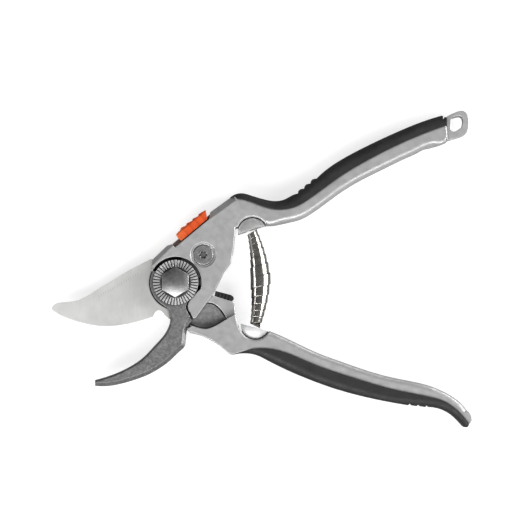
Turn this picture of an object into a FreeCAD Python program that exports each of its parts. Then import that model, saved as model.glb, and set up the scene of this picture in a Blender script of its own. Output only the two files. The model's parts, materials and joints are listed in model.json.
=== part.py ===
"""Bypass pruning shears, lying flat and fully open, in millimetres.

The origin is on the pivot axis at the back of the pivot bolt's head, which is the plane that the
shears rest on. +X runs from the pivot towards the handle ends, +Y towards the handle that carries
the lock, and +Z up through the pivot bolt to its nut.
"""
import FreeCAD, Part
import math
import os

V = FreeCAD.Vector
UP = V(0, 0, 1)
EPS = 0.01

# Layers through the thickness, from the back
Z_BODY_BACK = 1.0
Z_BODY_FRONT = 15.0
Z_BLADE_BACK = 6.5
BLADE_THICKNESS = 3.0
SLIDING_GAP = 0.1
Z_BLADE_FRONT = Z_BLADE_BACK + BLADE_THICKNESS
Z_PLATE_BACK = Z_BLADE_FRONT + SLIDING_GAP
GRIP_THICKNESS = 16.0
INNER_ROUND = 2.4
LOOP_T = 7.2
LOOP_ROUND = 1.2
Z_MID = GRIP_THICKNESS / 2

# Pivot
HUB_R = 13.0
EYE_R = 12.6
EYE_SLIM_R = 11.2
EYE_WINDOW_R = 12.8
BOLT_R = 4.0
BOLT_HEAD_R = 8.0
BOLT_HEAD_H = 2.6
BUSH_R = 6.0
RUN_FIT = 0.05
WASHER_H = 0.5
RING_R = 11.1
RING_H = 1.5
RING_GROOVES = 42
NUT_ACROSS_FLATS = 13.0
NUT_H = 5.2
NUT_DOME_H = 0.9
CLOSING_ANGLE = 38.0

# Counter-blade fastening
SCREW_AT = V(13.6, 13.7, 0)
SCREW_HEAD_R = 5.1
SCREW_SEAT_R = 6.2
SCREW_R = 2.5
SCREW_SEAT_DEPTH = 0.5
SCREW_HEAD_DEPTH = 2.2
TAIL_R = 6.4
TAIL_THICKNESS = 2.7

# Lock, set along the sloping edge of the upper handle
EDGE_AT = V(-2.0, 19.0, 0)
EDGE_ANGLE = 39.9
EDGE_LENGTH = 24.9
EDGE_POCKET_START = 0.2
EDGE_POCKET_END = 24.7
EDGE_POCKET_DEPTH = 2.4
POCKET_FLOOR_END = 22.4
POCKET_BACK_Z = 2.6
SLIDER_START = 4.4
SLIDER_END = 23.7
SLIDER_FLOOR_END = 21.0
SLIDER_TRAVEL = 4.2
SLIDER_Z0 = 3.2
SLIDER_Z1 = 14.4
SLIDER_LIFT = 0.06
RIVET_H = 9.0
TOOTH_START = 8.6
TOOTH_PITCH = 3.67
TOOTH_H = 0.65
LOCK_PLATE_H = 2.4
LOCK_TIP_W = 3.0
LOCK_TIP_R = 16.4
LOCK_TIP_END = 26.8
LOCK_ARM = (12.6, 17.6)
LOCK_ARM_DEPTH = 17.6
LOCK_ROOM = 0.3
NOTCH_HALF_ANGLE = 7.5

# Detent that holds the slider at either end of its travel
DETENT_S = 14.8
DETENT_Z = 12.1
DETENT_HOLE_R = 1.3
DETENT_DEPTH = 6.0
DETENT_BALL_R = 1.2
DETENT_PROUD = 0.35
DETENT_WIRE = 0.3
DETENT_COIL_R = 1.1
DETENT_TURNS = 5

# Return spring and its seats
SPRING_TOP = V(37.4, 26.3, Z_MID)
SPRING_BOTTOM = V(38.9, -22.1, Z_MID)
SPRING_BOW = 3.6
SPRING_TURNS = 12
SPRING_END_GAP = 0.035
SPRING_END_R = 2.4
SPRING_MID_R = 5.1
PITCH_SWING = 0.3
STRIP_COVER = 0.86
STRIP_T = 0.4
SEAT_R = 7.0
SEAT_H = 5.6
SEAT_GAP = 0.45
SEAT_FLOOR_Z = 2.8
SEAT_TOP_Z = 14.7
SEAT_CROWN_R = 15.0
SEAT_RIM_BEVEL = 0.6
SEAT_STEM_R = 2.0
SEAT_STEM_LENGTH = 4.0


def at(x, y, z=0.0):
    return V(x, y, z)


def curve(points):
    """One smooth edge through the points."""
    spline = Part.BSplineCurve()
    spline.interpolate([at(*p) for p in points])
    return spline.toShape()


def lines(points):
    """Straight edges from each point to the next."""
    return [Part.LineSegment(at(*a), at(*b)).toShape() for a, b in zip(points, points[1:])]


def arc(centre, radius, start_deg, end_deg):
    """The edge of a circle from one angle to the other, the short or long way as given."""
    middle = (start_deg + end_deg) / 2
    spots = [math.radians(a) for a in (start_deg, middle, end_deg)]
    a, b, c = [at(centre[0] + radius * math.cos(t), centre[1] + radius * math.sin(t)) for t in spots]
    return Part.Arc(a, b, c).toShape()


def on_circle(radius, deg):
    return (radius * math.cos(math.radians(deg)), radius * math.sin(math.radians(deg)))


def plate(edges, z0, z1):
    """A flat piece between two heights from a closed chain of edges."""
    wire = Part.Wire(Part.__sortEdges__(list(edges)))
    face = Part.Face(wire)
    face.translate(V(0, 0, z0))
    return face.extrude(V(0, 0, z1 - z0))


def polygon(points, z0, z1):
    return plate(lines(list(points) + [points[0]]), z0, z1)


def disc(radius, z0, z1, centre=V(0, 0, 0)):
    return Part.makeCylinder(radius, z1 - z0, V(centre.x, centre.y, z0), UP)


def ring(outer, inner, z0, z1, centre=V(0, 0, 0)):
    return disc(outer, z0, z1, centre).cut(disc(inner, z0 - 1, z1 + 1, centre))


def capsule(a, b, radius, z0, z1):
    """Two discs joined by a straight band."""
    along = b - a
    side = V(-along.y, along.x, 0).normalize() * radius
    corners = [a + side, b + side, b - side, a - side]
    band = polygon([(p.x, p.y) for p in corners], z0, z1)
    return band.fuse([disc(radius, z0, z1, a), disc(radius, z0, z1, b)]).removeSplitter()


def rim(solid, edges, z):
    """The solid's own edges that lie over the given outline edges at height z."""
    found = []
    for edge in edges:
        middle = edge.valueAt((edge.FirstParameter + edge.LastParameter) / 2)
        spot = Part.Vertex(V(middle.x, middle.y, z))
        found.append(min(solid.Edges, key=lambda e: e.distToShape(spot)[0]))
    return found


def rounding(edge, radius, z, facing, inward, stations=16):
    """The sliver that rounds a plate's rim at height z, along an outline edge."""
    sections = []
    for k in range(stations + 1):
        u = edge.FirstParameter + (edge.LastParameter - edge.FirstParameter) * k / stations
        spot, tangent = edge.valueAt(u), edge.tangentAt(u)
        side = V(-tangent.y, tangent.x, 0) * inward

        def place(into, under):
            return spot + side * into + V(0, 0, z - facing * under)

        near = radius * (1 - math.sqrt(0.5))
        curved = Part.Arc(place(radius, 0), place(near, near), place(0, radius)).toShape()
        corners = [place(0, radius), place(-1, radius), place(-1, -1), place(radius, -1), place(radius, 0)]
        straight = [Part.LineSegment(a, b).toShape() for a, b in zip(corners, corners[1:])]
        sections.append(Part.Wire([curved] + straight))
    return Part.makeLoft(sections, True, False)


def bevel(start, end, width, depth, z, extra=3.0):
    """The wedge that bevels a plate's straight rim at height z; the plate lies to its right."""
    along = (V(*end, 0) - V(*start, 0)).normalize()
    right = V(along.y, -along.x, 0)
    spot = V(*start, z) - along * extra
    slope = V(0, 0, -depth) - right * width
    corners = [spot + right * width - slope * 0.3, spot + right * width + slope * 1.3,
               spot - right * width + V(0, 0, 2)]
    length = (V(*end, 0) - V(*start, 0)).Length + 2 * extra
    return Part.Face(Part.makePolygon(corners + corners[:1])).extrude(along * length)


def write(name, shape):
    shape.exportStep("parts/%s.step" % name)


def in_edge_frame(s, t):
    """A point s along the lock's edge and t out from it."""
    angle = math.radians(EDGE_ANGLE)
    x = EDGE_AT.x + s * math.cos(angle) - t * math.sin(angle)
    y = EDGE_AT.y + s * math.sin(angle) + t * math.cos(angle)
    return (x, y)


# ---- outlines shared by a handle and its grip ----

UPPER_SEAM = [(30.2, 41.4), (37.0, 39.9), (45.6, 36.8), (51.6, 36.0), (58.0, 37.0), (66.0, 41.3),
              (81.2, 52.3), (96.5, 61.4), (116.0, 70.9), (133.7, 77.7)]
LOWER_SEAM = [(28.6, -35.3), (35.4, -33.4), (41.6, -32.6), (48.3, -33.1), (56.4, -35.5), (67.9, -40.4),
              (86.0, -46.6), (106.0, -52.5), (125.5, -56.6), (131.4, -58.3), (138.2, -62.6),
              (144.5, -69.7)]


def tongue(seam, start, end, depth, side):
    """The rib of a handle that its grip is moulded over, along part of the seam."""
    inner = [(x, y - side * 1.0) for x, y in seam[start:end]]
    outer = [(x, y + side * depth) for x, y in seam[start:end]]
    edges = [curve(inner), curve(outer)] + lines([inner[0], outer[0]]) + lines([inner[-1], outer[-1]])
    return plate(edges, Z_MID - 3.2, Z_MID + 3.2)


def upper_tongue():
    return tongue(UPPER_SEAM, 3, 9, 3.6, 1)


def lower_tongue():
    return tongue(LOWER_SEAM, 5, 10, 2.8, -1)


# ---- upper handle ----

EYE_RIM = [(136.35, 80.6), (136.3, 77.6), (136.7, 75.6), (137.8, 75.1), (139.6, 75.9), (141.4, 77.2),
           (142.1, 79.2), (142.0, 81.6), (141.0, 82.7), (139.0, 82.6), (137.2, 82.0)]


def hang_loop():
    """The squarish eye at the handle's end, thinner than the handle and rounded along its rim."""
    outer = curve([(134.2, 82.4), (136.0, 83.5), (138.2, 84.5), (140.6, 85.3), (142.6, 85.3), (144.2, 84.1),
                   (145.0, 82.0), (145.3, 79.5), (145.1, 77.0), (144.5, 75.2), (143.1, 73.6), (140.6, 72.4),
                   (137.0, 71.3), (133.4, 70.0)])
    inside = lines([(133.4, 70.0), (131.0, 73.5), (134.2, 77.4), (134.2, 82.4)])
    low, high = Z_MID - LOOP_T / 2, Z_MID + LOOP_T / 2
    loop = plate([outer] + inside, low, high)
    eye = Part.BSplineCurve()
    eye.interpolate(Points=[at(*p) for p in EYE_RIM], PeriodicFlag=True)
    return loop.cut([rounding(outer, LOOP_ROUND, high, 1, -1, 24),
                     rounding(outer, LOOP_ROUND, low, -1, -1, 24), plate([eye.toShape()], -1, 20)])


def handle_inner_edge():
    return curve([(44.6, 28.6), (51.5, 29.2), (56.5, 30.3), (61.4, 31.6), (66.4, 34.2), (71.3, 37.5),
                  (81.2, 44.8), (91.1, 50.9), (101.0, 55.9), (110.9, 60.8), (115.9, 63.1), (119.9, 64.9),
                  (122.8, 66.5), (125.8, 67.2), (130.7, 68.7), (134.4, 70.2)])


def upper_outline():
    """The upper handle seen from the front, clockwise from its left end."""
    edges = lines([(-11.6, 5.2), (-11.6, 11.3), (-4.4, 18.2), (-2.0, 19.0)])
    edges += lines([in_edge_frame(0, 0), in_edge_frame(EDGE_LENGTH, 0), (26.8, 42.0)])
    edges.append(curve([(26.8, 42.0), (28.6, 42.7), (30.2, 41.4)]))
    edges.append(curve(UPPER_SEAM))
    edges += lines([(133.7, 77.7), (134.4, 70.2)])
    edges.append(handle_inner_edge())
    edges += lines([(44.6, 28.6), (29.4, 27.4)])
    edges.append(curve([(29.4, 27.4), (29.1, 22.9), (28.4, 17.0), (27.2, 9.7)]))
    edges += lines([(27.2, 9.7), (23.9, 5.2), (19.4, -4.1), (9.9, -17.4), (8.7, -17.6)])
    edges.append(curve([(8.7, -17.6), (6.9, -14.1), (6.1, -11.4), (7.2, -8.7), (9.6, -5.9),
                        on_circle(EYE_WINDOW_R, -14)]))
    edges.append(arc((0, 0), EYE_WINDOW_R, -14, 150))
    edges += lines([on_circle(EYE_WINDOW_R, 150), (-11.6, 5.2)])
    return edges


def sweep_clearance():
    """The room behind the front plate that the other lever's head and blade turn through."""
    low, high = -1, Z_PLATE_BACK
    hub = disc(HUB_R + 1.2, low, high)
    stop = polygon([(9.0, 5.75), (34.0, 16.7), (34.0, -30.0), (-20.0, -30.0), (-20.0, 5.75)], low, high)
    spine = polygon([(-20.0, 0.0), (-3.0, 0.0), (-3.0, 25.0), (-20.0, 25.0)], low, high)
    return [hub, stop, spine]


def along_lock(reach_in, reach_out, half, low, high):
    """A straight bar on the line from the pivot through the lock, between two distances from the pivot."""
    angle = math.radians(EDGE_ANGLE)
    along = V(math.cos(angle), math.sin(angle), 0)
    out = V(-along.y, along.x, 0) * half
    corners = [along * reach_in - out, along * reach_out - out, along * reach_out + out,
               along * reach_in + out]
    return polygon([(p.x, p.y) for p in corners], low, high)


def lock_arm(room, low, high, top, travel=0.0):
    """The bar that joins the lock's tip to its button, grown by some room and by the lock's travel."""
    left, right = LOCK_ARM[0] - room - travel, LOCK_ARM[1] + room
    bottom = -LOCK_ARM_DEPTH - room
    return polygon([in_edge_frame(s, t) for s, t in ((left, top), (left, bottom), (right, bottom),
                                                     (right, top))], low, high)


def lock_channel():
    """The slot that the lock plate slides in, open to the pivot and to the slider's pocket."""
    low, high = Z_BLADE_BACK, Z_PLATE_BACK
    tip = along_lock(LOCK_TIP_R - SLIDER_TRAVEL - 2.0, LOCK_TIP_END + LOCK_ROOM, LOCK_TIP_W / 2 + LOCK_ROOM,
                     low, high)
    return [tip, lock_arm(LOCK_ROOM, low, high, 1.0, SLIDER_TRAVEL)]


def edge_pocket():
    """The step in the sloping edge that the slider runs in, with a slanted end and a back wall."""
    rim = 4.0
    corners = [(EDGE_POCKET_START, rim), (EDGE_POCKET_START, -EDGE_POCKET_DEPTH),
               (POCKET_FLOOR_END, -EDGE_POCKET_DEPTH), (EDGE_POCKET_END, 0), (EDGE_POCKET_END, rim)]
    return polygon([in_edge_frame(s, t) for s, t in corners], POCKET_BACK_Z, 20)


def back_fence():
    """The low lug of the pocket's back wall, beside the slider's left end."""
    corners = [(-0.4, -0.5), (-0.4, 0), (1.0, 0.6), (SLIDER_START, 0.6), (SLIDER_START, -0.5)]
    return polygon([in_edge_frame(s, t) for s, t in corners], Z_BODY_BACK, POCKET_BACK_Z)


def screw_room():
    """The counterbored hole for the counter-blade's screw, and the room for the tail it holds."""
    tail = capsule(V(0, 0, 0), SCREW_AT, TAIL_R + 0.1, Z_PLATE_BACK - 1, Z_PLATE_BACK + TAIL_THICKNESS)
    return [tail, disc(SCREW_SEAT_R, Z_BODY_FRONT - SCREW_SEAT_DEPTH, 20, SCREW_AT),
            disc(SCREW_HEAD_R + 0.1, Z_BODY_FRONT - SCREW_HEAD_DEPTH, 20, SCREW_AT),
            disc(SCREW_R + 0.2, 5, 20, SCREW_AT)]


def upper_handle():
    body = plate(upper_outline(), Z_BODY_BACK, Z_BODY_FRONT)
    inner = handle_inner_edge()
    body = body.cut([bevel((-11.6, 11.3), (-4.4, 18.2), 2.2, 1.7, Z_BODY_FRONT, 6.0),
                     bevel(in_edge_frame(EDGE_LENGTH, 0), (26.8, 42.0), 2.8, 2.0, Z_BODY_FRONT, 2.0),
                     rounding(inner, INNER_ROUND, Z_BODY_FRONT, 1, 1),
                     rounding(inner, INNER_ROUND, Z_BODY_BACK, -1, 1)])
    body = body.cut([edge_pocket()] + sweep_clearance() + lock_channel() + screw_room())
    inward = spring_direction(0) * -1
    body = body.cut([seat_room(SPRING_TOP, inward), seat_stem(SPRING_TOP, inward), detent_hole()])
    return body.fuse([upper_tongue(), hang_loop(), back_fence()]).removeSplitter()


def upper_grip():
    edges = [curve(UPPER_SEAM)]
    edges.append(curve([(30.2, 41.4), (28.6, 42.7), (26.8, 42.0)]))
    edges.append(curve([(26.8, 42.0), (29.6, 43.8), (32.4, 44.3), (37.0, 43.2), (43.5, 41.3), (49.5, 40.4),
                        (54.2, 41.4), (57.4, 43.2), (60.3, 44.0)]))
    stair = [(60.3, 44.0)]
    for step in range(3):
        x, y = 60.3 + 3.1 * step, 44.0 + 2.5 * step
        stair += [(x + 0.3, y + 1.4), (x + 1.2, y + 2.4), (x + 3.1, y + 2.5)]
    edges += lines(stair)
    edges.append(curve([stair[-1], (75.0, 56.4), (86.0, 63.3), (98.0, 69.4), (112.0, 75.8), (124.0, 80.5),
                        (131.6, 82.8)]))
    edges += lines([(131.6, 82.8), (132.2, 82.5), (132.2, 80.9), (132.9, 80.7), (133.0, 82.0), (133.9, 81.6),
                    (133.7, 77.7)])
    grip = plate(edges, 0, GRIP_THICKNESS)
    brow = curve([(24.6, 41.4), (32.4, 44.5), (49.4, 40.7), (60.6, 45.6), (74.8, 56.6), (97.9, 69.7),
                  (117.9, 78.6), (134.0, 84.1)])
    return grip.cut([rounding(brow, 4.2, GRIP_THICKNESS, 1, -1, 24), rounding(brow, 4.2, 0, -1, -1, 24),
                     upper_tongue()])


# ---- counter-blade and what holds it ----

HOOK_INNER = [(-3.9, -12.6), (-3.0, -15.5), (-2.7, -18.5), (-3.3, -21.4), (-6.0, -26.3), (-10.4, -31.2),
              (-15.2, -36.3), (-22.7, -41.6), (-31.0, -45.4), (-39.6, -48.0)]
HOOK_OUTER = [(-39.6, -50.9), (-36.1, -51.1), (-32.6, -50.9), (-22.7, -48.7), (-12.8, -45.0), (-7.9, -42.2),
              (-2.9, -38.5), (2.0, -33.8), (4.4, -31.3), (4.9, -28.2), (5.8, -22.4), (7.8, -18.9)]


def counter_blade():
    edges = [arc((0, 0), EYE_SLIM_R, 152.0, -14.0), arc((0, 0), EYE_R, 152.0, 238.0)]
    edges += lines([on_circle(EYE_SLIM_R, 152.0), on_circle(EYE_R, 152.0)])
    edges += lines([on_circle(EYE_R, 238.0), HOOK_INNER[0]])
    inner = curve(HOOK_INNER)
    outer = curve(HOOK_OUTER)
    edges += [inner, outer] + lines([HOOK_INNER[-1], HOOK_OUTER[0]])
    edges.append(curve([HOOK_OUTER[-1], (5.9, -14.6), (5.1, -12.0), (6.2, -9.2), (8.5, -6.6),
                        on_circle(EYE_SLIM_R, -14.0)]))
    blade = plate(edges, Z_PLATE_BACK, Z_BODY_FRONT)
    blade = blade.makeChamfer(1.1, rim(blade, [inner], Z_BODY_FRONT))
    blade = blade.makeChamfer(1.7, rim(blade, [outer], Z_BODY_FRONT))
    tail = capsule(V(0, 0, 0), SCREW_AT, TAIL_R, Z_PLATE_BACK, Z_PLATE_BACK + TAIL_THICKNESS - 0.1)
    blade = blade.fuse([tail]).removeSplitter()
    return blade.cut([disc(BOLT_R + RUN_FIT, 5, 20), disc(SCREW_R + 0.02, 5, 20, SCREW_AT)])


def six_lobe_socket(radius, depth, top, centre):
    """The tool for a socket with six rounded lobes."""
    lobes = []
    for k in range(6):
        x, y = on_circle(radius * 0.74, 60 * k)
        lobes.append(disc(radius * 0.28, top - depth, top + 1, centre + V(x, y, 0)))
    core = disc(radius * 0.76, top - depth, top + 1, centre)
    return core.fuse(lobes).removeSplitter()


def counter_blade_screw():
    z_head = Z_BODY_FRONT - SCREW_HEAD_DEPTH
    z_top = Z_BODY_FRONT - 0.2
    head = disc(SCREW_HEAD_R, z_head, z_top, SCREW_AT)
    head = head.makeFillet(0.6, [e for e in head.Edges if abs(e.BoundBox.Center.z - z_top) < EPS
                                 and e.BoundBox.XLength > 1])
    shank = disc(SCREW_R, Z_PLATE_BACK + 0.1, z_head + EPS, SCREW_AT)
    return head.fuse([shank]).cut(six_lobe_socket(2.0, 1.5, z_top, SCREW_AT)).removeSplitter()


# ---- pivot group ----

def hexagon(across_flats, z0, z1, turn_deg):
    corner = across_flats / math.sqrt(3)
    return polygon([on_circle(corner, turn_deg + 60 * k) for k in range(6)], z0, z1)


def pivot_bolt():
    head = disc(BOLT_HEAD_R, 0, BOLT_HEAD_H)
    head = head.makeChamfer(0.5, [e for e in head.Edges if abs(e.BoundBox.Center.z) < EPS
                                  and e.BoundBox.XLength > 1])
    top = Z_BODY_FRONT + RING_H + NUT_H - 1.6
    shank = disc(BOLT_R, BOLT_HEAD_H - EPS, top)
    socket = hexagon(5.0, -1, 1.8, 0)
    return head.fuse([shank]).cut(socket).removeSplitter()


def serrated_washer():
    z0, z1 = Z_BODY_FRONT, Z_BODY_FRONT + RING_H
    body = ring(RING_R, BOLT_R + 0.1, z0, z1)
    half = math.pi * RING_R / RING_GROOVES * 0.42
    grooves = []
    for k in range(RING_GROOVES):
        profile = Part.makePolygon([V(7.6, 0, z1 - 0.75), V(7.6, half, z1 + 0.1), V(7.6, -half, z1 + 0.1),
                                    V(7.6, 0, z1 - 0.75)])
        cutter = Part.Face(profile).extrude(V(RING_R - 7.0, 0, 0))
        cutter.rotate(V(0, 0, 0), UP, 360.0 * k / RING_GROOVES)
        grooves.append(cutter)
    return body.cut(grooves)


def pivot_nut():
    z0 = Z_BODY_FRONT + RING_H
    body = hexagon(NUT_ACROSS_FLATS, z0, z0 + NUT_H + NUT_DOME_H, 90)
    half = NUT_ACROSS_FLATS / 2
    dome_r = (half * half + NUT_DOME_H * NUT_DOME_H) / (2 * NUT_DOME_H)
    ball = Part.makeSphere(dome_r, V(0, 0, z0 + NUT_H + NUT_DOME_H - dome_r))
    cone = Part.makeCone(half + 6.6, half - 0.3, 7.4, V(0, 0, z0 + NUT_H - 6.4), UP)
    body = body.common(ball).common(cone)
    return body.cut(disc(BOLT_R - EPS / 2, z0 - 1, z0 + NUT_H - 1.5))


def pivot_bush():
    return ring(BUSH_R, BOLT_R + RUN_FIT, BOLT_HEAD_H + 0.1 + WASHER_H, Z_BLADE_FRONT - 0.35)


def rear_washer():
    z0 = BOLT_HEAD_H + 0.1
    return ring(BOLT_HEAD_R + 0.3, BOLT_R + 0.1, z0, z0 + WASHER_H)


def sliding_washer():
    return ring(9.0, BOLT_R + 0.1, Z_BLADE_FRONT - 0.35, Z_BLADE_FRONT + 0.05)


# ---- lower handle and blade ----

TANG_TOP = [(15.1, -10.3), (19.8, -11.7), (22.5, -14.7), (24.7, -17.7)]
TANG_BOTTOM = [(24.7, -17.7), (22.5, -19.0), (19.2, -20.9), (14.8, -22.3), (11.0, -21.6), (6.2, -19.5)]
CUTTING_EDGE = [(-61.4, -13.1), (-57.4, -15.8), (-52.4, -17.9), (-47.5, -19.4), (-42.5, -20.6),
                (-37.6, -21.3), (-32.6, -21.4), (-27.7, -20.9), (-22.7, -20.0), (-17.8, -18.7),
                (-11.4, -16.6)]
SPINE = [(-61.4, -12.3), (-59.4, -10.2), (-57.4, -9.7), (-52.4, -9.3), (-47.5, -8.1), (-42.5, -5.6),
         (-37.6, -2.4), (-32.6, 0.6), (-27.7, 3.7), (-22.7, 6.6), (-17.8, 9.1), (-12.8, 11.8)]


def blade_outline():
    edges = [curve(SPINE)] + lines([SPINE[-1], on_circle(HUB_R, 116)])
    angle = 116.0
    mouth = NOTCH_HALF_ANGLE + 1.4
    floor_r = LOCK_TIP_R - SLIDER_TRAVEL - 0.9
    for centre in (EDGE_ANGLE, EDGE_ANGLE - CLOSING_ANGLE):
        edges.append(arc((0, 0), HUB_R, angle, centre + mouth))
        edges += lines([on_circle(HUB_R, centre + mouth), on_circle(floor_r, centre + NOTCH_HALF_ANGLE),
                        on_circle(floor_r, centre - NOTCH_HALF_ANGLE), on_circle(HUB_R, centre - mouth)])
        angle = centre - mouth
    edges.append(arc((0, 0), HUB_R, angle, -36.0))
    edges += lines([on_circle(HUB_R, -36.0), TANG_TOP[0]])
    edges += [curve(TANG_TOP), curve(TANG_BOTTOM)]
    edges.append(curve([(6.2, -19.5), (1.0, -19.3), (-2.5, -18.2), (-5.4, -15.9), (-7.2, -13.9),
                        (-9.0, -13.4)]))
    edges.append(curve([(-9.0, -13.4), (-10.3, -14.2), (-11.4, -16.6)]))
    edges.append(curve(CUTTING_EDGE))
    edges += lines([CUTTING_EDGE[0], SPINE[0]])
    return edges


def cutting_blade():
    edges = blade_outline()
    blade = plate(edges, Z_BLADE_BACK, Z_BLADE_FRONT)
    blade = blade.cut([bevel_cutter()])
    return blade.cut([disc(BUSH_R + EPS, 0, 20), disc(9.1, Z_BLADE_FRONT - 0.35, 20)])


def bevel_cutter():
    """Takes the back of the blade down to a thin edge along the cut."""
    edge = curve(CUTTING_EDGE)
    stations = 14
    sections = []
    for k in range(stations + 1):
        u = edge.FirstParameter + (edge.LastParameter - edge.FirstParameter) * k / stations
        spot, tangent = edge.valueAt(u), edge.tangentAt(u)
        inward = V(-tangent.y, tangent.x, 0)
        deep = spot + inward * 4.2 + V(0, 0, Z_BLADE_BACK - 0.05)
        corners = [spot - inward * 1.0 + V(0, 0, Z_BLADE_FRONT - 0.1), deep,
                   spot - inward * 1.0 + V(0, 0, Z_BLADE_BACK - 1.0)]
        sections.append(Part.makePolygon(corners + corners[:1]))
    return Part.makeLoft(sections, True, True)


def lower_outline():
    """The full-thickness part of the lower handle, from the step beside the blade's tang."""
    edges = lines([(25.0, -18.0), (29.5, -15.5)])
    edges.append(curve([(29.5, -15.5), (30.2, -19.6), (31.6, -23.6)]))
    edges += lines([(31.6, -23.6), (46.5, -24.0)])
    edges.append(curve([(46.5, -24.0), (51.5, -26.0), (61.4, -30.7), (71.3, -35.2), (81.2, -38.8),
                        (91.1, -42.3), (106.0, -46.6), (120.8, -49.7), (125.8, -51.1), (130.7, -53.1),
                        (137.5, -56.9), (143.6, -63.1)]))
    edges.append(curve([(143.6, -63.1), (146.0, -67.6), (144.5, -69.7)]))
    edges.append(curve(LOWER_SEAM))
    edges.append(curve([(28.6, -35.3), (26.6, -35.0), (24.3, -33.2), (17.0, -28.1), (11.8, -25.7),
                        (6.9, -24.4)]))
    edges += lines([(6.9, -24.4), (5.9, -22.7), (8.6, -21.2)])
    edges.append(curve([(8.6, -21.2), (11.0, -22.0), (14.8, -22.7), (19.4, -21.2), (25.0, -18.0)]))
    return edges


def head_outline():
    edges = [arc((0, 0), HUB_R, 230.0, -20.0)]
    edges += lines([on_circle(HUB_R, -20.0), (19.1, -6.4), (27.3, -9.0)])
    edges.append(curve([(27.3, -9.0), (28.7, -10.0), (29.2, -12.0), (29.5, -15.5)]))
    edges += lines([(29.5, -15.5), (31.6, -23.6), (11.8, -25.7), (6.9, -24.4), (0.5, -18.5),
                    on_circle(HUB_R, 230.0)])
    return edges


def tang_room():
    """The pocket that the blade's tang is let into, with a dark seam all round."""
    edges = lines([(3.0, -9.0), (15.1, -9.7)])
    edges.append(curve([(15.1, -9.7), (20.2, -11.1), (23.1, -14.2), (25.5, -17.9)]))
    edges.append(curve([(25.5, -17.9), (22.7, -19.6), (19.4, -21.5), (14.8, -22.9), (10.8, -22.2),
                        (5.4, -19.8)]))
    edges += lines([(5.4, -19.8), (3.0, -9.0)])
    return plate(edges, Z_BLADE_BACK, 20)


def lower_handle():
    outline = lower_outline()
    body = plate(outline, Z_BODY_BACK, Z_BODY_FRONT)
    inner = outline[3]
    body = body.cut([rounding(inner, INNER_ROUND, Z_BODY_FRONT, 1, -1),
                     rounding(inner, INNER_ROUND, Z_BODY_BACK, -1, -1)])
    back = plate(head_outline(), Z_BODY_BACK, Z_BLADE_BACK)
    raised = plate(head_outline(), Z_BLADE_BACK - EPS, Z_BLADE_FRONT).cut([disc(17.8, 0, 20)])
    left = polygon([(-20, -30), (10.0, -30), (4.0, -12.0), (-20, 0)], Z_BLADE_BACK, 20)
    inward = spring_direction(1)
    body = body.fuse([back, raised.cut(left)]).cut([tang_room(), seat_room(SPRING_BOTTOM, inward)])
    body = body.cut([seat_stem(SPRING_BOTTOM, inward)])
    body = body.cut([disc(BOLT_HEAD_R + 0.4, 0, BOLT_HEAD_H + 0.1 + WASHER_H), disc(BUSH_R + EPS, 0, 20)])
    return body.fuse([lower_tongue()]).removeSplitter()


def lower_grip():
    edges = [curve(LOWER_SEAM)]
    edges.append(curve([(28.6, -35.3), (34.2, -34.7), (38.6, -35.2), (44.9, -38.0), (56.0, -43.5),
                        (67.9, -48.4), (77.0, -51.7), (85.7, -54.3), (100.0, -57.7), (112.4, -60.0)]))
    stair = [(112.4, -60.0)]
    for step in range(3):
        x, y = 112.4 + 4.2 * step, -60.0 - 0.45 * step
        stair += [(x + 2.3, y - 0.4), (x + 2.9, y + 0.4), (x + 3.7, y + 0.2), (x + 4.2, y - 0.45)]
    edges += lines(stair)
    edges.append(curve([stair[-1], (130.9, -62.3), (135.6, -64.7), (139.2, -68.0), (141.8, -70.8)]))
    edges.append(curve([(141.8, -70.8), (143.5, -71.3), (144.5, -69.7)]))
    grip = plate(edges, 0, GRIP_THICKNESS)
    belly = curve([(26.0, -34.9), (34.2, -35.0), (44.9, -38.3), (67.9, -48.7), (85.7, -54.7), (114.2, -60.9),
                   (130.0, -62.7), (136.0, -65.4), (143.6, -73.4)])
    return grip.cut([rounding(belly, 3.8, GRIP_THICKNESS, 1, 1, 24), rounding(belly, 3.8, 0, -1, 1, 24),
                     lower_tongue()])


def bumper():
    outline = lines([(19.1, -6.4), (19.6, -3.9), (26.9, -5.8)])
    outline.append(curve([(26.9, -5.8), (28.6, -7.4), (27.3, -9.0)]))
    outline += lines([(27.3, -9.0), (19.1, -6.4)])
    pad = plate(outline, 1.6, 9.4)
    ribs = []
    for k in range(4):
        groove = Part.makeBox(0.7, 8, 0.7, V(20.6 + 1.75 * k, -10.5, 9.4 - 0.6))
        groove.rotate(V(24, -6, 9), UP, -15)
        ribs.append(groove)
    return pad.cut(ribs)


# ---- return spring and seats ----

def spring_point(f):
    """The spring's bowed centre line from its top seat, f = 0, to its bottom seat, f = 1."""
    chord = SPRING_BOTTOM - SPRING_TOP
    across = V(-chord.y, chord.x, 0).normalize()
    return SPRING_TOP + chord * f + across * (SPRING_BOW * 4 * f * (1 - f))


def spring_direction(f):
    step = 0.001
    return (spring_point(f + step) - spring_point(f - step)).normalize()


def spring_radius(f):
    """Widest halfway along, where the two nested halves meet."""
    return SPRING_MID_R - (SPRING_MID_R - SPRING_END_R) * abs(2 * f - 1)


def between_rails(a, b):
    """The ruled face between two rails that share their parameters."""
    surface = Part.BSplineSurface()
    surface.buildFromPolesMultsKnots([a.getPoles(), b.getPoles()], [2, 2], a.getMultiplicities(),
                                     [0, 1], a.getKnots(), False, False, 1, a.Degree)
    return surface.toShape()


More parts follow.
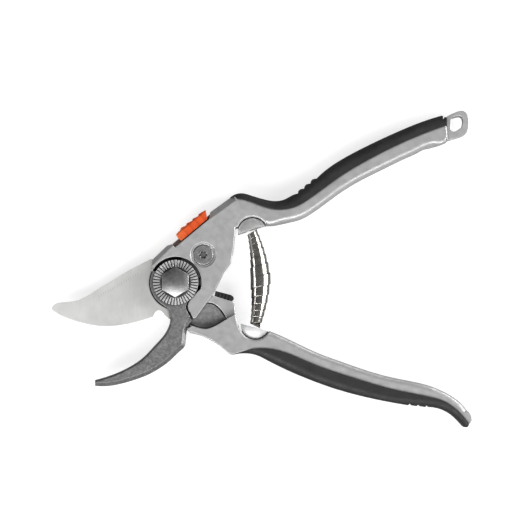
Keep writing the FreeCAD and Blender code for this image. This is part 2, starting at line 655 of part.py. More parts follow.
def coiled_strip(corners_at, turns):
    """A closed coil whose four-cornered section is given for each fraction of its length."""
    steps = int(turns * 12)
    fractions = [k / steps for k in range(steps + 1)]
    sections = [corners_at(f) for f in fractions]
    rails = []
    for corner in range(4):
        rail = Part.BSplineCurve()
        rail.interpolate(Points=[section[corner] for section in sections], Parameters=fractions)
        rails.append(rail)
    faces = [between_rails(a, b) for a, b in zip(rails, rails[1:] + rails[:1])]
    for end in (sections[0], sections[-1]):
        faces.append(Part.Face(Part.makePolygon(end + end[:1])))
    skin = Part.Compound(faces)
    skin.sewShape(1e-4)
    solid = Part.makeSolid(skin.Shells[0])
    if solid.Volume < 0:
        solid.reverse()
    return solid


def return_spring_section(f):
    """The strip's corners: wide and large in radius halfway, narrow and small at the ends."""
    span = 1 - 2 * SPRING_END_GAP
    along = SPRING_END_GAP + span * f
    axis = spring_direction(along)
    out = V(-axis.y, axis.x, 0)
    turn = 2 * math.pi * SPRING_TURNS * f + SPRING_TURNS * PITCH_SWING * math.sin(2 * math.pi * f)
    radial = out * math.cos(turn) + UP * math.sin(turn)
    length = (SPRING_BOTTOM - SPRING_TOP).Length * span
    pitch = length / (SPRING_TURNS * (1 + PITCH_SWING * math.cos(2 * math.pi * f)))
    reach = axis * (STRIP_COVER * pitch / 2)
    radius = spring_radius(along)
    inside = spring_point(along) + radial * (radius - STRIP_T)
    outside = spring_point(along) + radial * radius
    return [outside - reach, inside - reach, inside + reach, outside + reach]


def return_spring():
    return coiled_strip(return_spring_section, SPRING_TURNS)


def seat_radius():
    """The radius of a seat's cap, and how far its centre lies inward from the seat's mouth."""
    radius = (SEAT_R ** 2 + SEAT_H ** 2) / (2 * SEAT_H)
    return radius, SEAT_H - radius


def seat_room(mouth, inward):
    """The round pocket a seat drops into, with a bevelled rim."""
    radius, offset = seat_radius()
    centre = mouth + inward * offset
    room_r = radius + SEAT_GAP
    rim_base = V(centre.x, centre.y, Z_BODY_FRONT - SEAT_RIM_BEVEL)
    bevelled = Part.makeCone(room_r, room_r + 2 * SEAT_RIM_BEVEL, 2 * SEAT_RIM_BEVEL, rim_base)
    return disc(room_r, SEAT_FLOOR_Z, 20, centre).fuse(bevelled)


def seat_stem(mouth, inward):
    return Part.makeCylinder(SEAT_STEM_R, SEAT_H + SEAT_STEM_LENGTH, mouth, inward)


def spring_seat(mouth, inward):
    """A round cap with a crowned front, on a stem, with a socket for the spring's end."""
    radius, offset = seat_radius()
    centre = mouth + inward * offset
    crown = Part.makeSphere(SEAT_CROWN_R, V(centre.x, centre.y, SEAT_TOP_Z - SEAT_CROWN_R))
    slab = Part.makeCylinder(2 * SEAT_R, SEAT_H + 1, mouth, inward)
    cap = disc(radius, SEAT_FLOOR_Z + 0.1, SEAT_TOP_Z, centre).common(crown)
    cap = cap.common(slab).fuse([seat_stem(mouth, inward)])
    return cap.cut(Part.makeCylinder(SPRING_END_R + 0.9, 2.6, mouth, inward)).removeSplitter()


# ---- lock ----

def lock_slider():
    """The thumb button: a block in the edge pocket with four saw teeth on top and slanted ends."""
    bottom = SLIDER_LIFT - EDGE_POCKET_DEPTH
    points = [(SLIDER_START + 0.5, bottom), (SLIDER_START, 0.3), (SLIDER_START + 0.2, 2.1),
              (SLIDER_START + 0.8, 2.45)]
    for k in range(4):
        s, crest = TOOTH_START + TOOTH_PITCH * k, 3.4 - 0.15 * k
        points += [(s - 0.7, crest - TOOTH_H), (s, crest)]
    points += [(SLIDER_END, 2.3), (SLIDER_FLOOR_END, bottom)]
    block = polygon([in_edge_frame(*p) for p in points], SLIDER_Z0, SLIDER_Z1)
    shoulder = bevel(in_edge_frame(SLIDER_START, 3.2), in_edge_frame(SLIDER_END, 3.2), 1.5, 1.3, SLIDER_Z1)
    rebate = polygon([in_edge_frame(s, t) for s, t in ((0, -4), (0, bottom + 0.6), (30, bottom + 0.6),
                                                       (30, -4))], SLIDER_Z1 - 1.2, 20)
    return block.cut([shoulder, rebate, lock_plate_solid(), rivet_solid(), detent_groove()])


def lock_plate_solid():
    """The flat steel plate under the button, with a tip that reaches in towards the pivot."""
    low = Z_BLADE_BACK + 0.3
    high = low + LOCK_PLATE_H
    tip = along_lock(LOCK_TIP_R, LOCK_TIP_END, LOCK_TIP_W / 2, low, high)
    return tip.fuse([lock_arm(0, low, high, 0.6)]).removeSplitter()


def rivet_solid():
    x, y = in_edge_frame(sum(LOCK_ARM) / 2, -0.6)
    return Part.makeCylinder(1.0, RIVET_H, V(x, y, SLIDER_Z0), UP)


def lock_plate():
    return lock_plate_solid().cut(rivet_solid())


def detent_axis():
    """The detent's mouth on the pocket's floor, and the direction into the handle."""
    x, y = in_edge_frame(DETENT_S, -EDGE_POCKET_DEPTH)
    angle = math.radians(EDGE_ANGLE)
    return V(x, y, DETENT_Z), V(math.sin(angle), -math.cos(angle), 0)


def detent_hole():
    mouth, inward = detent_axis()
    return Part.makeCylinder(DETENT_HOLE_R, DETENT_DEPTH, mouth, inward)


def detent_groove():
    """The groove under the button that the ball runs in."""
    top = 0.15 + DETENT_PROUD - EDGE_POCKET_DEPTH
    reach = DETENT_BALL_R + 0.2
    corners = ((DETENT_S - reach, -4), (DETENT_S - reach, top),
               (DETENT_S + SLIDER_TRAVEL + reach, top), (DETENT_S + SLIDER_TRAVEL + reach, -4))
    return polygon([in_edge_frame(s, t) for s, t in corners], DETENT_Z - reach, DETENT_Z + reach)


def detent_ball():
    mouth, inward = detent_axis()
    return Part.makeSphere(DETENT_BALL_R, mouth + inward * (DETENT_BALL_R - DETENT_PROUD))


def detent_spring_section(f):
    mouth, inward = detent_axis()
    start = 2 * DETENT_BALL_R - DETENT_PROUD + 0.2
    across = UP.cross(inward)
    turn = 2 * math.pi * DETENT_TURNS * f
    radial = across * math.cos(turn) + UP * math.sin(turn)
    spot = mouth + inward * (start + (DETENT_DEPTH - start - 0.2) * f)
    inside, outside = spot + radial * (DETENT_COIL_R - DETENT_WIRE), spot + radial * DETENT_COIL_R
    half = inward * (DETENT_WIRE / 2)
    return [outside - half, inside - half, inside + half, outside + half]


def detent_spring():
    return coiled_strip(detent_spring_section, DETENT_TURNS)


def main():
    os.makedirs("parts", exist_ok=True)
    write("upper_handle", upper_handle())
    write("upper_grip", upper_grip())
    write("counter_blade", counter_blade())
    write("counter_blade_screw", counter_blade_screw())
    write("pivot_bolt", pivot_bolt())
    write("serrated_washer", serrated_washer())
    write("pivot_nut", pivot_nut())
    write("pivot_bush", pivot_bush())
    write("rear_washer", rear_washer())
    write("sliding_washer", sliding_washer())
    write("cutting_blade", cutting_blade())
    write("lower_handle", lower_handle())
    write("lower_grip", lower_grip())
    write("bumper", bumper())
    write("return_spring", return_spring())
    write("upper_spring_seat", spring_seat(SPRING_TOP, spring_direction(0) * -1))
    write("lower_spring_seat", spring_seat(SPRING_BOTTOM, spring_direction(1)))
    write("lock_slider", lock_slider())
    write("lock_plate", lock_plate())
    write("lock_rivet", rivet_solid())
    write("detent_ball", detent_ball())
    write("detent_spring", detent_spring())


main()
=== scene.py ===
"""Looks for the pruning shears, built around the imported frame."""

import json
import math

import bmesh
import bpy
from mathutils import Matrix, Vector


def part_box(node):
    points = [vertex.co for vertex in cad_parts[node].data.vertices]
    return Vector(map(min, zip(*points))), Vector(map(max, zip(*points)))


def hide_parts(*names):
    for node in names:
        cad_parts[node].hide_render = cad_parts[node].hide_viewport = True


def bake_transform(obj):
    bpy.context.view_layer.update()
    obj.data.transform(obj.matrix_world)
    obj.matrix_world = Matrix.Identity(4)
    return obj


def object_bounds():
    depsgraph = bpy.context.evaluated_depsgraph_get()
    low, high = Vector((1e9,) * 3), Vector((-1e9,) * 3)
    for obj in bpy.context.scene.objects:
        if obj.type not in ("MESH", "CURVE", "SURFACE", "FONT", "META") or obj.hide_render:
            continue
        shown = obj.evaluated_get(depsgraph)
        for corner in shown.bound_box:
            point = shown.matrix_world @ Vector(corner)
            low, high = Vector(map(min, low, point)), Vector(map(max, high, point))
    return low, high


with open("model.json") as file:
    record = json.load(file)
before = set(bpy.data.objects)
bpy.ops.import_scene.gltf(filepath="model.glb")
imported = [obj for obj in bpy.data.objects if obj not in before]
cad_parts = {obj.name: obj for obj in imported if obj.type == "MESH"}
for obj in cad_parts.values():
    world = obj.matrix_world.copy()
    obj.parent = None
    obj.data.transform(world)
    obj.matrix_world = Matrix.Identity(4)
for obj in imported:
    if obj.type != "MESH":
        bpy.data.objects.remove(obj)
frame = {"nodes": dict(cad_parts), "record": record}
CAD_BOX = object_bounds()
NODES = frame["nodes"]
MM = 0.001

# The etched rule on the blade, along and across a line turned from +X
RULE_ANGLE = math.radians(30.0)
RULE_START = -37.4 * MM
RULE_END = -13.1 * MM
RULE_LOW = 12.6 * MM
RULE_HIGH = 13.9 * MM
RULE_PITCH = 1.3 * MM
TICK_SHARE = 0.2

# Rings about the pivot's axis, both painted shade: a dark collar at the nut, and a near-black ring on the
# blade's hub
COLLAR_INNER = 7.4 * MM
COLLAR_OUTER = 8.0 * MM
HUB_INNER = 13.2 * MM
HUB_OUTER = 13.6 * MM

# Along X: where the blade turns into its tang, painted dark as shade, and the end of the button that gets a
# painted highlight
TANG_START = 3.5 * MM
TANG_DARK = 5.5 * MM
PAINTED_HIGHLIGHT_START = 1.0 * MM
PAINTED_HIGHLIGHT_END = 6.0 * MM

# The button's teeth, along the upper handle's slanting edge
EDGE_ANGLE = math.radians(39.9)
FIRST_TOOTH = 19.25 * MM
TOOTH_PITCH = 3.67 * MM


def frame_top(node):
    """The height of a node's highest corner."""
    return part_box(node)[1].z


# ---- node helpers ----

class Shader:
    """A material's node tree with short calls for the nodes used here."""

    def __init__(self, name):
        self.material = bpy.data.materials.new(name)
        self.material.use_nodes = True
        self.tree = self.material.node_tree
        self.bsdf = self.tree.nodes["Principled BSDF"]
        self.coords = self.tree.nodes.new("ShaderNodeTexCoord").outputs["Object"]

    def link(self, source, target):
        self.tree.links.new(source, target)

    def node(self, kind, inputs=(), **settings):
        made = self.tree.nodes.new(kind)
        for key, value in settings.items():
            setattr(made, key, value)
        for key, value in dict(inputs).items():
            if isinstance(value, bpy.types.NodeSocket):
                self.link(value, made.inputs[key])
            else:
                made.inputs[key].default_value = value
        return made

    def mapping(self, scale=(1, 1, 1), turn=(0, 0, 0), place=(0, 0, 0)):
        made = self.node("ShaderNodeMapping", {"Vector": self.coords, "Scale": scale, "Rotation": turn,
                                               "Location": place})
        return made.outputs[0]

    def noise(self, size, detail=3.0, rough=0.55, vector=None, distort=0.0):
        """Noise whose features are about size metres across."""
        made = self.node("ShaderNodeTexNoise", {"Vector": vector or self.coords, "Scale": 1.0 / size,
                                                "Detail": detail, "Roughness": rough, "Distortion": distort})
        return made.outputs["Fac"]

    def cells(self, size):
        inputs = {"Vector": self.coords, "Scale": 1.0 / size}
        return self.node("ShaderNodeTexVoronoi", inputs, feature="F1").outputs["Distance"]

    def ramp(self, value, stops):
        """Colours or greys along a value; each stop is (place, colour)."""
        made = self.node("ShaderNodeValToRGB", {"Fac": value})
        band = made.color_ramp
        while len(band.elements) < len(stops):
            band.elements.new(0.5)
        for element, (place, colour) in zip(band.elements, stops):
            grey = colour if isinstance(colour, tuple) else (colour, colour, colour)
            element.position = place
            element.color = (*grey, 1.0)
        return made.outputs["Color"]

    def math(self, operation, a, b=0.0, clamp=False):
        made = self.tree.nodes.new("ShaderNodeMath")
        made.operation = operation
        made.use_clamp = clamp
        for socket, value in zip(made.inputs, (a, b)):
            if isinstance(value, bpy.types.NodeSocket):
                self.link(value, socket)
            else:
                socket.default_value = value
        return made.outputs[0]

    def mix(self, factor, a, b, blend="MIX"):
        made = self.tree.nodes.new("ShaderNodeMix")
        made.data_type = "RGBA"
        made.blend_type = blend
        for socket, value in zip((made.inputs[0], made.inputs[6], made.inputs[7]), (factor, a, b)):
            if isinstance(value, bpy.types.NodeSocket):
                self.link(value, socket)
            elif isinstance(value, tuple):
                socket.default_value = (*value, 1.0)
            else:
                socket.default_value = value
        return made.outputs[2]

    def edges(self, radius):
        """Near 1 on the rounded edges of the part, 0 on its flats, and the rounded normal."""
        soft = self.node("ShaderNodeBevel", {"Radius": radius}, samples=6).outputs[0]
        sharp = self.node("ShaderNodeNewGeometry").outputs["Normal"]
        dot = self.tree.nodes.new("ShaderNodeVectorMath")
        dot.operation = "DOT_PRODUCT"
        self.link(soft, dot.inputs[0])
        self.link(sharp, dot.inputs[1])
        mask = self.math("MULTIPLY", self.math("SUBTRACT", 1.0, dot.outputs["Value"]), 5.0, clamp=True)
        return mask, soft

    def painted_crevice_shade(self, reach, dark):
        """Painted shade: a factor from ambient occlusion that falls to dark in corners and seams narrower
        than reach, and is 1 in the open.
        """
        made = self.node("ShaderNodeAmbientOcclusion", {"Distance": reach}, samples=8)
        return self.ramp(made.outputs["AO"], [(0.25, dark), (0.85, 1.0)])

    def split(self, vector=None):
        """The vector's three parts, in metres for object coordinates."""
        made = self.node("ShaderNodeSeparateXYZ", {"Vector": vector or self.coords})
        return made.outputs[0], made.outputs[1], made.outputs[2]

    def pivot_distance(self):
        """How far a point lies from the pivot's axis, in metres."""
        flat = self.mapping(scale=(1, 1, 0))
        return self.node("ShaderNodeVectorMath", {0: flat}, operation="LENGTH").outputs["Value"]

    def between(self, value, low, high):
        """1 where the value lies between two limits, else 0."""
        above = self.math("GREATER_THAN", value, low)
        return self.math("MULTIPLY", above, self.math("LESS_THAN", value, high))

    def fade(self, value, low, high):
        """Rises from 0 to 1 as the value goes from low to high."""
        made = self.node("ShaderNodeMapRange", {"Value": value, "From Min": low, "From Max": high})
        return made.outputs["Result"]

    def bump(self, height, depth, strength=1.0, normal=None):
        inputs = {"Height": height, "Distance": depth, "Strength": strength}
        if normal is not None:
            inputs["Normal"] = normal
        return self.node("ShaderNodeBump", inputs).outputs[0]

    def finish(self, colour=None, roughness=None, normal=None, **fixed):
        for name, value in (("Base Color", colour), ("Roughness", roughness), ("Normal", normal)):
            if isinstance(value, bpy.types.NodeSocket):
                self.link(value, self.bsdf.inputs[name])
            elif isinstance(value, tuple):
                self.bsdf.inputs[name].default_value = (*value, 1.0)
            elif value is not None:
                self.bsdf.inputs[name].default_value = value
        for name, value in fixed.items():
            self.bsdf.inputs[name.replace("_", " ")].default_value = value
        return self.material


# ---- materials ----

def handle_aluminium(name, tone):
    """Cast aluminium, blasted matt, with faint casting clouds, worn edges and painted shade darkening its
    seams and corners.
    """
    s = Shader(name)
    edge, soft = s.edges(0.6 * MM)
    clouds = s.ramp(s.noise(9 * MM, 4), [(0.3, tone * 0.94), (0.7, tone * 1.06)])
    grains = s.ramp(s.noise(0.22 * MM, 2), [(0.35, 0.88), (0.65, 1.08)])
    colour = s.mix(1.0, clouds, grains, "MULTIPLY")
    colour = s.mix(s.math("MULTIPLY", edge, 0.5), colour, (0.74, 0.74, 0.75))
    # Painted shade: darker in seams and corners.
    colour = s.mix(1.0, colour, s.painted_crevice_shade(1.4 * MM, 0.22), "MULTIPLY")
    rough = s.ramp(s.noise(3 * MM, 3), [(0.3, 0.34), (0.7, 0.46)])
    grain = s.bump(s.noise(0.16 * MM, 2), 0.02 * MM, 0.5, soft)
    dents = s.bump(s.noise(5 * MM, 2), 0.05 * MM, 0.3, grain)
    return s.finish(colour, rough, dents, Metallic=0.65)


def grip_rubber(name, tone):
    """Soft black rubber with a fine moulded grain, dull patches and a dry, slightly dusty edge."""
    s = Shader(name)
    edge, soft = s.edges(0.5 * MM)
    patches = s.ramp(s.noise(7 * MM, 4), [(0.3, tone * 0.75), (0.7, tone * 1.25)])
    specks = s.ramp(s.cells(0.5 * MM), [(0.2, 0.8), (0.8, 1.3)])
    colour = s.mix(1.0, patches, specks, "MULTIPLY")
    colour = s.mix(s.math("MULTIPLY", edge, 0.35), colour, (0.06, 0.06, 0.06))
    rough = s.ramp(s.noise(2.5 * MM, 3), [(0.3, 0.46), (0.7, 0.62)])
    grain = s.bump(s.cells(0.35 * MM), 0.03 * MM, 0.5, soft)
    return s.finish(colour, rough, grain, Specular_IOR_Level=0.35, Sheen_Weight=0.05, Sheen_Roughness=0.4)


def forged_steel():
    """Forged and phosphated steel: mottled grey with darker pits, and painted shade in its corners and
    seams.
    """
    s = Shader("forged_steel")
    edge, soft = s.edges(0.4 * MM)
    mottle = s.ramp(s.noise(1.3 * MM, 6, 0.7), [(0.3, (0.15, 0.15, 0.15)), (0.52, (0.24, 0.24, 0.24)),
                                                (0.72, (0.35, 0.35, 0.35))])
    pits = s.ramp(s.noise(0.35 * MM, 3), [(0.28, 0.45), (0.42, 1.0)])
    colour = s.mix(1.0, mottle, pits, "MULTIPLY")
    colour = s.mix(s.math("MULTIPLY", edge, 0.45), colour, (0.5, 0.5, 0.5))
    # Painted shade: darker in corners and seams.
    colour = s.mix(1.0, colour, s.painted_crevice_shade(1.5 * MM, 0.2), "MULTIPLY")
    rough = s.ramp(s.noise(1.1 * MM, 4), [(0.3, 0.36), (0.7, 0.58)])
    coarse = s.bump(s.noise(0.9 * MM, 5, 0.65), 0.08 * MM, 0.6, soft)
    fine = s.bump(s.noise(0.2 * MM, 2), 0.02 * MM, 0.5, coarse)
    return s.finish(colour, rough, fine, Metallic=0.85)


def steel(name, tone, rough_low, rough_high, metallic=1.0, tint=(1.0, 1.0, 1.0), crevice_shade=(0.8, 0.3)):
    """Bare machined metal with fine scratches, slight staining and painted shade darkening its seams and
    corners.
    """
    s = Shader(name)
    edge, soft = s.edges(0.25 * MM)
    low, high = tone
    dull_tone = tuple(low * t for t in tint)
    clean_tone = tuple(high * t for t in tint)
    stain = s.ramp(s.noise(2.4 * MM, 5), [(0.3, dull_tone), (0.7, clean_tone)])
    colour = s.mix(s.math("MULTIPLY", edge, 0.4), stain, (0.85, 0.85, 0.85))
    # Painted shade: darker in seams and corners, set by reach and darkness.
    reach, dark = crevice_shade
    colour = s.mix(1.0, colour, s.painted_crevice_shade(reach * MM, dark), "MULTIPLY")
    lines = s.noise(1.0 * MM, 3, vector=s.mapping(scale=(0.3, 6.0, 1.0), turn=(0, 0, 0.5)))
    rough = s.ramp(s.noise(0.6 * MM, 4), [(0.3, rough_low), (0.7, rough_high)])
    scratches = s.bump(lines, 0.01 * MM, 0.35, soft)
    return s.finish(colour, rough, scratches, Metallic=metallic)


def zinc_steel():
    """Bright zinc-plated steel: its cut grooves painted near black as shade, and a dark ring of painted
    shade at the nut.
    """
    s = Shader("zinc_steel")
    soft = s.edges(0.15 * MM)[1]
    z = s.split()[2]
    top = frame_top("serrated_washer")
    # Painted shade: everything below the tops of the teeth goes near black, for the shade in the cut
    # grooves.
    unshaded_tops = s.fade(z, top - 0.40 * MM, top - 0.02 * MM)
    bright = s.ramp(s.noise(1.2 * MM, 4), [(0.3, 0.50), (0.7, 0.72)])
    colour = s.mix(unshaded_tops, (0.03, 0.03, 0.03), bright)
    # Painted shade: a near-black ring at the nut, where the washer meets the flange.
    colour = s.mix(s.fade(s.pivot_distance(), COLLAR_OUTER, COLLAR_INNER), colour, (0.05, 0.05, 0.05))
    rough = s.ramp(s.noise(0.5 * MM, 3), [(0.3, 0.3), (0.7, 0.45)])
    return s.finish(colour, rough, s.bump(s.noise(0.3 * MM, 3), 0.01 * MM, 0.4, soft), Metallic=0.55)


def blade_steel():
    """Ground steel: fine lines across the blade, an etched rule of plain ticks, and a tang painted dark and
    mottled as shade.
    """
    s = Shader("blade_steel")
    edge, soft = s.edges(0.2 * MM)
    lines = s.noise(1.0 * MM, 4, 0.6, vector=s.mapping(scale=(5.0, 0.25, 1.0), turn=(0, 0, -1.05)))
    clouds = s.ramp(s.noise(12 * MM, 4), [(0.3, (0.61, 0.612, 0.598)), (0.7, (0.72, 0.722, 0.705))])
    tone = s.ramp(lines, [(0.25, 0.93), (0.75, 1.05)])
    colour = s.mix(1.0, clouds, tone, "MULTIPLY")
    along, out = s.split(s.mapping(turn=(0, 0, -RULE_ANGLE)))[:2]
    tick = s.math("LESS_THAN", s.math("FRACT", s.math("MULTIPLY", along, 1.0 / RULE_PITCH)), TICK_SHARE)
    band = s.math("MULTIPLY", s.between(along, RULE_START, RULE_END), s.between(out, RULE_LOW, RULE_HIGH))
    colour = s.mix(s.math("MULTIPLY", s.math("MULTIPLY", tick, band), 0.35), colour, (0.2, 0.2, 0.2))
    colour = s.mix(s.math("MULTIPLY", edge, 0.5), colour, (0.9, 0.9, 0.9))
    x = s.split()[0]
    # Painted shade: past TANG_START the blade turns dark and mottled, for the tang lying in shadow.
    tang_shade = s.ramp(s.noise(1.6 * MM, 5, 0.65), [(0.3, 0.14), (0.7, 0.30)])
    colour = s.mix(s.fade(x, TANG_START, TANG_DARK), colour, tang_shade)
    # Painted shade: a near-black ring on the hub, for the shadowed gap around the pivot.
    colour = s.mix(s.fade(s.pivot_distance(), HUB_OUTER, HUB_INNER), colour, (0.012, 0.012, 0.012))
    # Painted shade: darker in corners and seams.
    colour = s.mix(1.0, colour, s.painted_crevice_shade(2.0 * MM, 0.25), "MULTIPLY")
    rough = s.ramp(lines, [(0.25, 0.42), (0.75, 0.54)])
    normal = s.bump(lines, 0.008 * MM, 0.5, soft)
    return s.finish(colour, rough, normal, Metallic=0.6)


def lock_plastic():
    """Orange plastic with a fine spark grain, a painted highlight that makes its low end paler, and painted
    shade behind each tooth.
    """
    s = Shader("lock_plastic")
    edge, soft = s.edges(0.3 * MM)
    base = s.ramp(s.noise(4 * MM, 3), [(0.3, (0.52, 0.050, 0.006)), (0.7, (0.66, 0.085, 0.012))])
    # Painted highlight: paler orange towards the button's low end.
    painted_highlight = s.math("MULTIPLY", s.fade(s.split()[0], PAINTED_HIGHLIGHT_END, PAINTED_HIGHLIGHT_START), 0.4)
    base = s.mix(painted_highlight, base, (0.90, 0.24, 0.07))
    # Painted shade: darker just behind each tooth.
    along = s.split(s.mapping(turn=(0, 0, -EDGE_ANGLE)))[0]
    tooth = s.math("FRACT", s.math("MULTIPLY", s.math("SUBTRACT", along, FIRST_TOOTH), 1.0 / TOOTH_PITCH))
    tooth_shade = s.ramp(tooth, [(0.0, 1.0), (0.10, 0.76), (0.40, 0.96), (1.0, 1.04)])
    base = s.mix(1.0, base, tooth_shade, "MULTIPLY")
    colour = s.mix(s.math("MULTIPLY", edge, 0.3), base, (0.9, 0.26, 0.09))
    # Painted shade: darker in corners and seams.
    colour = s.mix(1.0, colour, s.painted_crevice_shade(1.4 * MM, 0.2), "MULTIPLY")
    rough = s.ramp(s.noise(0.8 * MM, 3), [(0.3, 0.38), (0.7, 0.5)])
    grain = s.bump(s.cells(0.3 * MM), 0.02 * MM, 0.4, soft)
    return s.finish(colour, rough, grain, Specular_IOR_Level=0.4, Subsurface_Weight=0.05)


def plain_plastic():
    s = Shader("washer_plastic")
    tone = s.ramp(s.noise(2 * MM, 3), [(0.3, 0.62), (0.7, 0.72)])
    return s.finish(tone, 0.4, s.bump(s.noise(0.3 * MM), 0.01 * MM, 0.4))


def brass():
    s = Shader("bush_brass")
    tone = s.ramp(s.noise(1.5 * MM, 4), [(0.3, (0.5, 0.34, 0.12)), (0.7, (0.66, 0.46, 0.18))])
    return s.finish(tone, 0.32, s.bump(s.noise(0.3 * MM), 0.01 * MM, 0.4), Metallic=1.0)


MATERIALS = {
    "handle_aluminium": handle_aluminium("handle_aluminium", 0.52),
    "grip_rubber": grip_rubber("grip_rubber", 0.014),
    "bumper_rubber": grip_rubber("bumper_rubber", 0.010),
    "forged_steel": forged_steel(),
    # The screw and polished steel set their own reach and darkness for painted shade in seams.
    "screw_steel": steel("screw_steel", (0.27, 0.44), 0.35, 0.5, crevice_shade=(1.6, 0.12)),
    "bolt_steel": steel("bolt_steel", (0.28, 0.40), 0.35, 0.5),
    "zinc_steel": zinc_steel(),
    "polished_steel": steel("polished_steel", (0.30, 0.46), 0.30, 0.42, crevice_shade=(0.3, 0.6)),
    "spring_steel": steel("spring_steel", (0.40, 0.62), 0.12, 0.24, tint=(1.0, 0.97, 0.91)),
    "blade_steel": blade_steel(),
    "bush_brass": brass(),
    "washer_plastic": plain_plastic(),
    "lock_plastic": lock_plastic(),
}
OWN_MATERIALS = {
    # Painted shade: the lower handle takes a darker copy of the same aluminium.
    "lower_handle": handle_aluminium("shaded_lower_aluminium", 0.49),
    "upper_spring_seat": steel("seat_aluminium", (0.44, 0.58), 0.40, 0.52, metallic=0.5),
}
OWN_MATERIALS["lower_spring_seat"] = OWN_MATERIALS["upper_spring_seat"]


def dress_nodes():
    """Every CAD node takes the material of its slot, or its own material: the lower handle a darker copy of
    the aluminium as painted shade, the spring seats their own finish.
    """
    slots = {row["node"]: row["material_slot"] for row in frame["record"]["subparts"]}
    for name, node in NODES.items():
        node.data.materials.clear()
        node.data.materials.append(OWN_MATERIALS.get(name) or MATERIALS[slots[name]])


# ---- return spring ----

SPRING_TOP = Vector((37.4, 26.3, 8.0)) * MM
SPRING_BOTTOM = Vector((38.9, -22.1, 8.0)) * MM
SPRING_BOW = 3.6 * MM
SPRING_TURNS = 12
SPRING_END_GAP = 0.035
SPRING_END_R = 2.4 * MM
SPRING_MID_R = 5.1 * MM
PITCH_SWING = 0.3
# The strip's width as a share of the pitch: just over 1, so that each turn laps the next
STRIP_COVER = 1.03
STRIP_T = 0.4 * MM
STRIP_CORNER = 0.1 * MM
STATIONS_PER_TURN = 48


def spring_point(f):
    """The spring's bowed centre line from its top seat, f = 0, to its bottom seat, f = 1."""
    chord = SPRING_BOTTOM - SPRING_TOP
    across = Vector((-chord.y, chord.x, 0.0)).normalized()
    return SPRING_TOP + chord * f + across * (SPRING_BOW * 4 * f * (1 - f))


def strip_section(f):
    """The outline of the rounded strip, a fraction f along the coil."""
    span = 1 - 2 * SPRING_END_GAP
    along = SPRING_END_GAP + span * f
    axis = (spring_point(along + 0.001) - spring_point(along - 0.001)).normalized()
    out = Vector((-axis.y, axis.x, 0.0))
    turn = 2 * math.pi * SPRING_TURNS * f + SPRING_TURNS * PITCH_SWING * math.sin(2 * math.pi * f)
    radial = out * math.cos(turn) + Vector((0.0, 0.0, 1.0)) * math.sin(turn)
    length = (SPRING_BOTTOM - SPRING_TOP).length * span
    pitch = length / (SPRING_TURNS * (1 + PITCH_SWING * math.cos(2 * math.pi * f)))
    half = STRIP_COVER * pitch / 2
    radius = SPRING_MID_R - (SPRING_MID_R - SPRING_END_R) * abs(2 * along - 1)
    c, t = STRIP_CORNER, STRIP_T
    rim = [(-half, c), (-half, t - c), (-half + c, t), (-half + 3 * c, t), (half - 3 * c, t), (half - c, t),
           (half, t - c), (half, c), (half - c, 0), (half - 3 * c, 0), (3 * c - half, 0), (c - half, 0)]
    return [spring_point(along) + axis * u + radial * (radius - t + v) for u, v in rim]


def return_spring():
    """Two nested volutes of polished strip that meet halfway, one closed mesh."""
    steps = SPRING_TURNS * STATIONS_PER_TURN
    rings = [strip_section(k / steps) for k in range(steps + 1)]
    count = len(rings[0])
    points = [p for ring in rings for p in ring]
    faces = []
    for k in range(steps):
        for i in range(count):
            j = (i + 1) % count
            faces.append((k * count + i, k * count + j, (k + 1) * count + j, (k + 1) * count + i))
    faces.append(tuple(reversed(range(count))))
    faces.append(tuple(steps * count + i for i in range(count)))
    mesh = bpy.data.meshes.new("spring_coil")
    mesh.from_pydata(points, [], faces)
    mesh.validate()
    fix = bmesh.new()
    fix.from_mesh(mesh)
    bmesh.ops.recalc_face_normals(fix, faces=fix.faces)
    fix.to_mesh(mesh)
    fix.free()
    mesh.polygons.foreach_set("use_smooth", [True] * len(mesh.polygons))
    piece = bpy.data.objects.new("spring_coil", mesh)
    bpy.context.scene.collection.objects.link(piece)
    mesh.materials.append(MATERIALS["spring_steel"])
    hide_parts("return_spring")
    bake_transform(piece)


# ---- studio ----

VIEW_CENTRE = Vector((44.1, 8.9, 10.0)) * MM
VIEW_WIDTH = 262.4 * MM
CAMERA_DISTANCE = 1.4
CAMERA_TILT = math.radians(3.0)


def camera():
    data = bpy.data.cameras.new("camera")
    made = bpy.data.objects.new("camera", data)
    bpy.context.scene.collection.objects.link(made)
    data.sensor_width = 36.0
    data.lens = data.sensor_width * CAMERA_DISTANCE / VIEW_WIDTH
    data.clip_start = 0.01
    back = Vector((0.0, -math.sin(CAMERA_TILT), math.cos(CAMERA_TILT)))
    made.location = VIEW_CENTRE + back * CAMERA_DISTANCE
    made.rotation_euler = (CAMERA_TILT, 0.0, 0.0)
    bpy.context.scene.camera = made


def softbox(name, place, size, power, aim=VIEW_CENTRE):
    data = bpy.data.lights.new(name, "AREA")
    data.shape = "RECTANGLE"
    data.size, data.size_y = size
    data.energy = power
    made = bpy.data.objects.new(name, data)
    made.location = Vector(place)
    made.rotation_euler = (aim - made.location).to_track_quat("-Z", "Y").to_euler()
    bpy.context.scene.collection.objects.link(made)


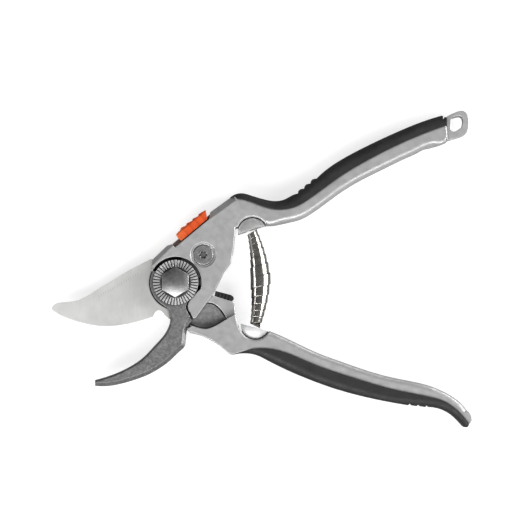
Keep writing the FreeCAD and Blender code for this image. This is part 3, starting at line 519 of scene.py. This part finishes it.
def floor():
    """A white sheet: near white to the camera, paper to diffuse light, dark in reflections."""
    low = CAD_BOX[0].z
    bpy.ops.mesh.primitive_plane_add(size=6.0, location=(VIEW_CENTRE.x, VIEW_CENTRE.y, low))
    sheet = bpy.context.object
    sheet.name = "floor"
    s = Shader("paper")
    tone = s.ramp(s.noise(40 * MM, 2), [(0.3, 0.38), (0.7, 0.40)])
    paper = s.node("ShaderNodeBsdfDiffuse", {"Color": tone}).outputs[0]
    glow = s.node("ShaderNodeEmission", {"Color": (1.0, 1.0, 1.0, 1.0), "Strength": FLOOR_GLOW}).outputs[0]
    to_camera = s.node("ShaderNodeAddShader", {0: paper, 1: glow}).outputs[0]
    to_dull = s.node("ShaderNodeBsdfDiffuse", {"Color": (0.85, 0.85, 0.85, 1.0)}).outputs[0]
    to_metal = s.node("ShaderNodeBsdfDiffuse", {"Color": (0.22, 0.22, 0.22, 1.0)}).outputs[0]
    path = s.node("ShaderNodeLightPath").outputs
    bounced = s.node("ShaderNodeMixShader", {0: path["Is Glossy Ray"], 1: to_dull, 2: to_metal}).outputs[0]
    mixed = s.node("ShaderNodeMixShader", {0: path["Is Camera Ray"], 1: bounced, 2: to_camera}).outputs[0]
    s.link(mixed, s.tree.nodes["Material Output"].inputs["Surface"])
    sheet.data.materials.append(s.material)


def room():
    """Walls that are dim on the lock's side and brighter towards the jaw and the right."""
    world = bpy.data.worlds.new("studio")
    bpy.context.scene.world = world
    world.use_nodes = True
    tree = world.node_tree
    coords = tree.nodes.new("ShaderNodeTexCoord")
    lean = tree.nodes.new("ShaderNodeVectorMath")
    lean.operation = "DOT_PRODUCT"
    lean.inputs[1].default_value = ROOM_LEAN
    tree.links.new(coords.outputs["Generated"], lean.inputs[0])
    band = tree.nodes.new("ShaderNodeMapRange")
    band.inputs["From Min"].default_value = -1.0
    band.inputs["From Max"].default_value = 1.0
    band.inputs["To Min"].default_value = ROOM_DIM
    band.inputs["To Max"].default_value = ROOM_BRIGHT
    tree.links.new(lean.outputs["Value"], band.inputs["Value"])
    tree.links.new(band.outputs["Result"], tree.nodes["Background"].inputs["Color"])


FLOOR_GLOW = 0.74
ROOM_LEAN = (0.35, -0.75, 0.0)
ROOM_DIM = 0.02
ROOM_BRIGHT = 0.34


def studio():
    floor()
    room()
    softbox("right_box", (1.2, 0.15, 0.55), (0.5, 0.85), 19.0)
    softbox("left_box", (-0.75, -0.90, 0.85), (0.8, 0.4), 11.0)
    softbox("near_box", (0.0, -0.80, 1.25), (1.3, 0.5), 12.0)
    softbox("back_box", (0.95, 1.00, 0.30), (0.8, 0.3), 6.0)
    softbox("left_strip", (-1.05, 0.0, 0.42), (0.25, 0.14), 1.3)
    bpy.context.scene.view_settings.view_transform = "Standard"


dress_nodes()
return_spring()
camera()
studio()
